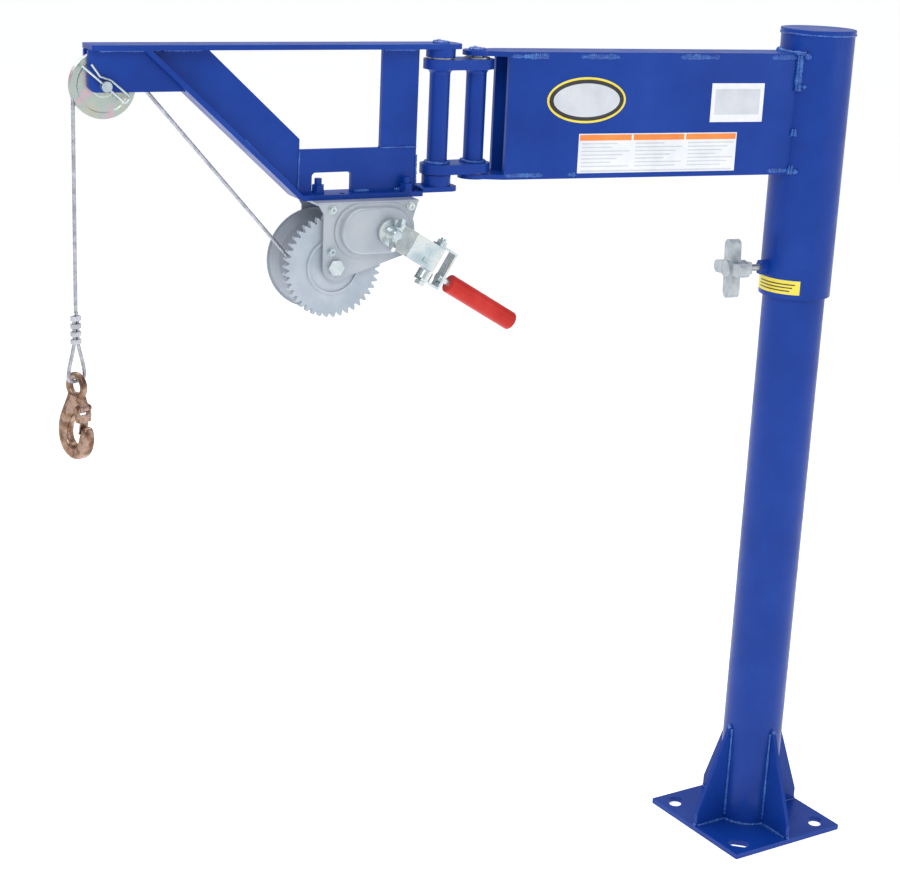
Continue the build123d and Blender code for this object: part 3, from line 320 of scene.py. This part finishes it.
def spline_points(name, points):
    """Points along the smooth NURBS route through a cord's listed control points."""
    curve = bpy.data.curves.new(name, "CURVE")
    curve.dimensions = "3D"
    curve.resolution_u = 24
    spline = curve.splines.new("NURBS")
    spline.points.add(len(points) - 1)
    for control, point in zip(spline.points, points):
        control.co = (*point, 1)
    spline.order_u = 3
    spline.use_endpoint_u = True
    guide = bpy.data.objects.new(name, curve)
    line = bpy.data.meshes.new_from_object(guide)
    result = [vertex.co.copy() for vertex in line.vertices]
    bpy.data.objects.remove(guide)
    bpy.data.curves.remove(curve)
    bpy.data.meshes.remove(line)
    return result


ROPE_LAY = 30.0     # length of one full turn of the strands


def rope(name, points, body):
    """Six strands laid round each other: a lobed section that turns along the rope."""
    route = resample(points, 1.1 * MM)

    def radius_at(travelled, angle):
        turned = 3 * (angle - 2 * pi * travelled / (ROPE_LAY * MM))
        return ROPE_R * MM * (0.80 + 0.20 * abs(cos(turned)) ** 0.7)

    verts, faces = tube(route, radius_at, 36)
    return piece(name, verts, faces, ROPE, body), route


def weld(name, points, size, body, seed):
    """A lumpy weld bead with the ripples of each pass."""
    chance = random.Random(seed)
    route = resample(points, 0.9 * MM)
    pitch = 2.9 * MM
    ripples = 400
    phase = [chance.uniform(0.78, 1.18) for _ in range(ripples)]
    route = [point + UP * chance.uniform(-0.18, 0.18) * MM for point in route]

    def radius_at(travelled, angle):
        pulse = travelled / pitch
        base = phase[int(pulse) % ripples]
        ends = min(1.0, 0.45 + travelled / (3 * size * MM))
        wander = 1 + 0.12 * sin(travelled / (9 * MM) + seed)
        ripple = 0.84 + 0.16 * cos(2 * pi * (pulse % 1) + angle)
        return 1.12 * size * MM * base * ends * wander * ripple

    verts, faces = tube(route, radius_at, 12)
    # the bead's lighter blue is a painted highlight on the frame's paint
    return piece(name, verts, faces, WELD_PAINT_AND_HIGHLIGHT, body)


def blob(name, centre, radii, body, seed):
    """A rounded spatter of weld metal."""
    chance = random.Random(seed)
    verts, faces = [], []
    rings, count = 7, 12
    for ring in range(rings + 1):
        polar = pi * ring / rings
        for step in range(count):
            angle = 2 * pi * step / count
            wobble = 1 + chance.uniform(-0.08, 0.08)
            verts.append(centre + Vector((
                radii[0] * sin(polar) * cos(angle), radii[1] * sin(polar) * sin(angle),
                radii[2] * cos(polar))) * MM * wobble)
    for ring in range(rings):
        for step in range(count):
            a = ring * count + step
            b = ring * count + (step + 1) % count
            faces.append((a, b, b + count, a + count))
    return piece(name, verts, faces, WELD_PAINT_AND_HIGHLIGHT, body)


# ---------------------------------------------------------------- wire rope
span = hypot(SHEAVE[0] - DRUM[0], SHEAVE[1] - DRUM[1])
climb = atan2(SHEAVE[1] - DRUM[1], SHEAVE[0] - DRUM[0]) + asin((ON_DRUM + ON_SHEAVE) / span)
leave = (DRUM[0] + ON_DRUM * sin(climb), DRUM[1] - ON_DRUM * cos(climb))
meet = (SHEAVE[0] - ON_SHEAVE * sin(climb), SHEAVE[1] + ON_SHEAVE * cos(climb))
hang = SHEAVE[0] + ON_SHEAVE
FALL_TOP = 1131.2
FALL_END = 862.0
BEFORE_SHEAVE = 29     # keeps the long run straight up to the sheave
WRAP_STEPS = 5
WRAP_STEP = (climb + pi / 2) / WRAP_STEPS
TANGENT = ON_SHEAVE * tan(WRAP_STEP / 2)
run_route = [outer.at(leave[0], 0, leave[1]),
             outer.at(meet[0] - BEFORE_SHEAVE * cos(climb), 0, meet[1] - BEFORE_SHEAVE * sin(climb)),
             outer.at(meet[0] - TANGENT * cos(climb), 0, meet[1] - TANGENT * sin(climb))]
for step in range(WRAP_STEPS):
    turned = climb + pi / 2 - (step + 0.5) * WRAP_STEP
    reach = ON_SHEAVE / cos(WRAP_STEP / 2)
    run_route.append(outer.at(SHEAVE[0] + reach * cos(turned), 0, SHEAVE[1] + reach * sin(turned)))
run_route.append(outer.at(hang, 0, FALL_TOP))
rope_run, run_path = rope("rope_run_strands", spline_points("run_guide", run_route), "outer_arm")
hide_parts("rope_run")

fall_route = [outer.at(hang, 0, FALL_TOP), outer.at(hang, 0, FALL_END)]
rope_fall, fall_path = rope("rope_fall_strands", fall_route, None)
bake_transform(rope_fall)
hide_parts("rope_fall")

hook_x = -outer.out * cos(HOOK_TURN) + outer.front * sin(HOOK_TURN)
hook_y = UP.cross(hook_x)
EYE_ROUTE = ((-2.5, 852.5), (-2.5, 838), (-2.5, 820), (-12.4, 788.4), (-12.4, 774.2),
             (12.4, 774.2), (12.4, 788.4), (2.5, 820), (2.5, 838), (2.5, 853.5), (0.3, 861.2))


def hook_point(across, through, up):
    return outer.at(hang, 0, 0) + (hook_x * across + hook_y * through) * MM + UP * up * MM


eye_route = [hook_point(0, w, z) for w, z in EYE_ROUTE]
rope_eye, eye_path = rope("rope_eye_strands", spline_points("eye_guide", eye_route), "hook")
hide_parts("rope_eye")


TURN_STEPS = 48


def coil_points(radius, start, pitch, turns, end_angle):
    """Helix of turns on the drum that ends at an angle about the drum's axis."""
    points = []
    for step in range(turns * TURN_STEPS + 1):
        angle = end_angle + 2 * pi * (step / TURN_STEPS - turns)
        centre = outer.at(DRUM[0], start + pitch * step / TURN_STEPS, DRUM[1])
        points.append(centre + (outer.out * cos(angle) + UP * sin(angle)) * radius * MM)
    return points


LEAVES_AT = climb - pi / 2
CLEAR_STEPS = 4     # left out at the start of the last turn, where the rope leaves the drum
rope("lower_coil", coil_points(25.6, -22.3, 4.86, 9, LEAVES_AT), "drum")
rope("upper_coil", coil_points(30.2, -22.4, 4.35, 4, LEAVES_AT), "drum")
rope("last_turn", coil_points(ON_DRUM, 0, 0, 1, LEAVES_AT)[CLEAR_STEPS:], "outer_arm")

# ---------------------------------------------------------------- weld beads
MAST_R = 44.45
SLEEVE_R = 50.8
BASE_TOP = 7.94
GUSSET_TOP = 160.3
GUSSET_REACH = 98.5
GUSSET_T = 6.35
LINK_UNDER = 1148.6
LINK_OVER = 1027.7
BARREL_R = 13.335
FLANGE_SEAM = 23.4     # each seam's distance from the middle of the boom
TOP_STITCHES = ((470.9, 417.5), (374.5, 314.5), (226.0, 165.8), (85.6, 46.0))
BOTTOM_STITCHES = ((471.5, 416.3), (381.6, 369.0), (78.7, 46.0))
SLEEVE_RUNS = ((1171, 1122), (1070, 1060), (1020, 1008))
SLEEVE_BEADS = ((43.4, 27.0, 4.0), (41.0, 30.0, 3.8))
SLEEVE_BLOBS = ((35.5, 1169, 6.0), (38.0, 1012, 4.5), (36.5, 1128, 3.4))
SIDES = ((1, "front"), (-1, "rear"))
for hand, side_name in SIDES:
    for number, (far, near) in enumerate(TOP_STITCHES):
        line = [inner.at(along, hand * FLANGE_SEAM, 1166.4) for along in (far, near)]
        weld(f"boom_top_weld_{side_name}_{number}", line, 3.9, "inner_arm", number + 3)
    for number, (far, near) in enumerate(BOTTOM_STITCHES):
        line = [inner.at(along, hand * FLANGE_SEAM, 1012.4) for along in (far, near)]
        weld(f"boom_bottom_weld_{side_name}_{number}", line, 3.7, "inner_arm", number + 23)
    for number, (high, low) in enumerate(SLEEVE_RUNS):
        for bead, (along, aside, size) in enumerate(SLEEVE_BEADS):
            line = [inner.at(along, hand * aside, high), inner.at(along, hand * aside, low)]
            weld(f"sleeve_weld_{side_name}_{number}_{bead}", line, size, "inner_arm", number + 41 + 5 * bead)
    for number, (along, height, size) in enumerate(SLEEVE_BLOBS):
        aside = sqrt(51.2 ** 2 - along ** 2)
        blob(f"sleeve_blob_{side_name}_{number}", inner.at(along, hand * aside, height),
             (size, size, size * 0.8), "inner_arm", 31 + number)


def around(radius, height, first, last, count=40):
    """Points of a level arc about the mast axis, in metres."""
    return [Vector((radius * cos(first + (last - first) * k / count),
                    radius * sin(first + (last - first) * k / count), height)) * MM
            for k in range(count + 1)]


FLANGE_WELD_R = SLEEVE_R + 0.6
flange_weld = [inner.at(FLANGE_WELD_R * cos(radians(turn)), FLANGE_WELD_R * sin(radians(turn)), 1172.4)
               for turn in range(-44, 45, 4)]
weld("flange_top_weld", flange_weld, 3.6, "inner_arm", 55)
PIN_HEADS = (("inner", inner, PIN_A_REACH, 1174.0, "inner_arm"), ("outer", outer, 0, 1183.0, "outer_arm"))
for pin_name, arm, reach, top, body in PIN_HEADS:
    cover = arm.at(reach, 0, top)
    pin_ring = [cover + Vector((8.6 * cos(2 * pi * k / 40), 8.6 * sin(2 * pi * k / 40), -1.6)) * MM
                for k in range(41)]
    weld(f"{pin_name}_pin_weld", pin_ring, 2.5, body, 57)
    blob(f"{pin_name}_pin_cover", cover, (8.2, 8.2, 1.7), body, 58)
    blob(f"{pin_name}_pin_bump", cover + arm.out * 3 * MM, (4.0, 5.0, 3.0), body, 59)
weld("cap_weld", around(SLEEVE_R + 0.4, 1197.6, 0, 2 * pi, 90), 1.4, "inner_arm", 51)
for corner in range(4):
    heading = corner * pi / 2
    out = Vector((cos(heading), sin(heading), 0))
    aside = UP.cross(out)
    half = asin(GUSSET_T / 2 / MAST_R)
    foot_arc = around(MAST_R + 1.2, BASE_TOP + 1.2, heading + half, heading + pi / 2 - half)
    weld(f"foot_weld_{corner}", foot_arc, 3.0, "base", 60 + corner)
    for hand in (-1, 1):
        foot = [(out * reach + aside * hand * 4.2) * MM + UP * (BASE_TOP + 1.0) * MM
                for reach in (MAST_R + 2, GUSSET_REACH - 2)]
        seam = [(out * (MAST_R + 0.6) + aside * hand * 4.4) * MM + UP * height * MM
                for height in (BASE_TOP + 6, GUSSET_TOP - 1)]
        label_end = f"{corner}_{'left' if hand < 0 else 'right'}"
        weld(f"gusset_foot_weld_{label_end}", foot, 2.4, "base", 70 + corner * 2 + hand)
        weld(f"gusset_seam_{label_end}", seam, 2.2, "base", 80 + corner * 2 + hand)
    blob(f"gusset_top_blob_{corner}", (out * (MAST_R + 1.6)) * MM + UP * (GUSSET_TOP + 0.6) * MM,
         (3.2, 3.2, 4.5), "base", 90 + corner)
    blob(f"gusset_end_blob_{corner}", (out * (GUSSET_REACH + 0.4)) * MM + UP * (BASE_TOP + 1.2) * MM,
         (3.0, 3.4, 3.0), "base", 96 + corner)


def flare(name, centre, height, radius, size, body):
    """Concave fillet ring from an upright barrel into the plate above it."""
    verts, faces = [], []
    count, rings = 48, 8
    for ring in range(rings + 1):
        angle = pi / 2 * ring / rings
        reach = radius + size * (1 - cos(angle))
        drop = size * (sin(angle) - 1)
        for step in range(count):
            spin = 2 * pi * step / count
            verts.append(centre + Vector((reach * cos(spin), reach * sin(spin), height + drop)) * MM)
    for ring in range(rings):
        for step in range(count):
            a = ring * count + step
            b = ring * count + (step + 1) % count
            faces.append((a, b, b + count, a + count))
    return piece(name, verts, faces, BLUE, body)


for along, barrel in ((0, "inner"), (LINK_SPAN, "outer")):
    centre = link.at(along, 0, 0)
    flare(f"{barrel}_barrel_flare", centre, LINK_UNDER, BARREL_R, 7, "link")
    ring_r = BARREL_R + 1.2
    ring = [centre + Vector((ring_r * cos(2 * pi * k / 48), ring_r * sin(2 * pi * k / 48),
                             LINK_OVER + 1.2)) * MM for k in range(49)]
    weld(f"{barrel}_barrel_weld", ring, 2.6, "link", 110 + along)
ARM_SEAMS = (
    ("strut_foot", ((31.6, 1050.4), (82.4, 1050.4)), 1.5),
    ("strut_head", ((33.0, 1173.6), (81.0, 1173.6)), 2.3),
    ("bend_butt", ((193.6, 1050.0), (195.0, 1000.0)), 1.4),
    ("diagonal_head", ((322.0, 1173.6), (372.0, 1173.6)), 2.2),
    ("diagonal_foot", ((200.0, 1002.5), (268.0, 1065.0)), 2.2),
    ("bar_foot", ((36.0, 996.0), (62.0, 996.0)), 2.3),
    ("bar_middle", ((96.0, 996.0), (118.0, 996.0)), 2.4),
    ("strut_back", ((31.6, 1000.0), (31.6, 1040.0)), 1.6),
)
for hand, side_name in SIDES:
    face = hand * 3.6
    for number, (seam_name, ends, size) in enumerate(ARM_SEAMS):
        weld(f"{seam_name}_weld_{side_name}", [outer.at(along, face, up) for along, up in ends], size,
             "outer_arm", 120 + number)
    cheek_seam = [outer.at(along, hand * 11.4, 1174.0) for along in (378.0, 452.0)]
    weld(f"cheek_weld_{side_name}", cheek_seam, 1.6, "outer_arm", 131)
weld("ear_butt_weld", [outer.at(27.2, -17.0, 998.6), outer.at(27.2, 17.0, 998.6)], 2.3, "outer_arm", 133)

# ---------------------------------------------------------------- labels
BOOM_FACE = 25.4
LABEL_BACK = BOOM_FACE + 0.02
LABEL_LIFT = 0.25


def label(name, near, far, low, high, material, lift):
    """Thin oblong slab on the front face of the boom."""
    face = BOOM_FACE + LABEL_LIFT * lift
    outline = [(near, low), (far, low), (far, high), (near, high)]
    verts = [inner.at(along, LABEL_BACK, up) for along, up in outline]
    verts += [inner.at(along, face, up) for along, up in outline]
    faces = [(4, 5, 6, 7)] + [(k, (k + 1) % 4, (k + 1) % 4 + 4, k + 4) for k in range(4)]
    return piece(name, verts, faces, material, "inner_arm", smooth=False)


def oval(name, middle, size, material, lift):
    """Thin oval slab on the front face of the boom."""
    count = 64
    verts = []
    for depth in (LABEL_BACK, BOOM_FACE + LABEL_LIFT * lift):
        for step in range(count):
            angle = 2 * pi * step / count
            verts.append(inner.at(middle[0] + size[0] / 2 * cos(angle), depth,
                                  middle[1] + size[1] / 2 * sin(angle)))
    faces = [tuple(range(count, 2 * count))]
    faces += [(k, (k + 1) % count, (k + 1) % count + count, k + count) for k in range(count)]
    return piece(name, verts, faces, material, "inner_arm", smooth=False)


BADGE = (359, 1110)
oval("badge_rim", BADGE, (114, 60), YELLOW, 1)
oval("badge_ring", BADGE, (108, 54), BLACK, 2)
oval("badge_field", BADGE, (96, 44), PALE, 3)
label("tag", 93, 173.5, 1080, 1132, WHITE, 1)
label("tag_panel", 99, 167.5, 1090, 1124, PALE, 2)
PLACARD_FROM = 130
COLUMN = 79
label("placard", PLACARD_FROM, PLACARD_FROM + 3 * COLUMN, 1013.8, 1066, WHITE, 1)
for column in range(3):
    start = PLACARD_FROM + COLUMN * column
    label(f"placard_band_{column}", start + 1.5, start + 77.5, 1057, 1064.6, ORANGE, 2)
    for row in range(7):
        line_length = 70 - 9 * ((row * 5 + column * 3) % 4)
        label(f"placard_line_{column}_{row}", start + 74 - line_length, start + 74,
              1052 - 5 * row, 1053.4 - 5 * row, PALE, 2)
label("placard_foot", 135, 362, 1015.2, 1017.2, PALE, 2)

STRIP_FROM = radians(140)
STRIP_TO = radians(236)
STRIP_STEPS = 40
strip_verts = []
for height in (838.5, 858.5):
    strip_verts += around(SLEEVE_R + 0.25, height, STRIP_FROM, STRIP_TO, STRIP_STEPS)
strip_faces = [(k, k + 1, k + STRIP_STEPS + 2, k + STRIP_STEPS + 1) for k in range(STRIP_STEPS)]
piece("sleeve_strip", strip_verts, strip_faces, YELLOW, "inner_arm")
for number, height in enumerate((842.6, 847.2, 851.8)):
    line_verts = []
    for edge in (height, height + 1.6):
        line_verts += around(SLEEVE_R + 0.4, edge, radians(158), radians(220 + 4 * number), STRIP_STEPS)
    piece(f"sleeve_strip_line_{number}", line_verts, strip_faces, BLACK, "inner_arm")

# ---------------------------------------------------------------- floor and light
FLOOR = 40
PALE_FLOOR = finish("pale_floor", [
    (0.3, (0.93, 0.93, 0.93)),
    (0.7, (0.95, 0.95, 0.95)),
], 2, (0.8, 0.9), 50, 0.02, specular=0.1)
floor = piece("floor", [(-FLOOR, -FLOOR, 0), (FLOOR, -FLOOR, 0), (FLOOR, FLOOR, 0), (-FLOOR, FLOOR, 0)],
              [(0, 1, 2, 3)], PALE_FLOOR, None, smooth=False)
floor_shader = floor.data.materials[0].node_tree.nodes["Principled BSDF"]
floor_shader.inputs["Emission Color"].default_value = (1, 1, 1, 1)
floor_shader.inputs["Emission Strength"].default_value = 0.5

world = bpy.data.worlds.new("studio")
bpy.context.scene.world = world
world.use_nodes = True
world.node_tree.nodes["Background"].inputs["Color"].default_value = (0.95, 0.97, 1.0, 1)
world.node_tree.nodes["Background"].inputs["Strength"].default_value = 0.55


def lamp(name, place, aim, size, power):
    light = bpy.data.lights.new(name, "AREA")
    light.size = size
    light.energy = power
    obj = bpy.data.objects.new(name, light)
    bpy.context.scene.collection.objects.link(obj)
    obj.location = place
    obj.rotation_euler = (Vector(aim) - Vector(place)).to_track_quat("-Z", "Y").to_euler()


lamp("key", (-2.6, -2.2, 3.4), (-0.4, 0, 0.7), 1.8, 48)
lamp("fill", (1.6, -2.6, 1.8), (-0.4, 0, 0.8), 2.2, 15)
lamp("top", (-0.4, 0.8, 3.6), (-0.5, 0, 0.8), 2.4, 62)
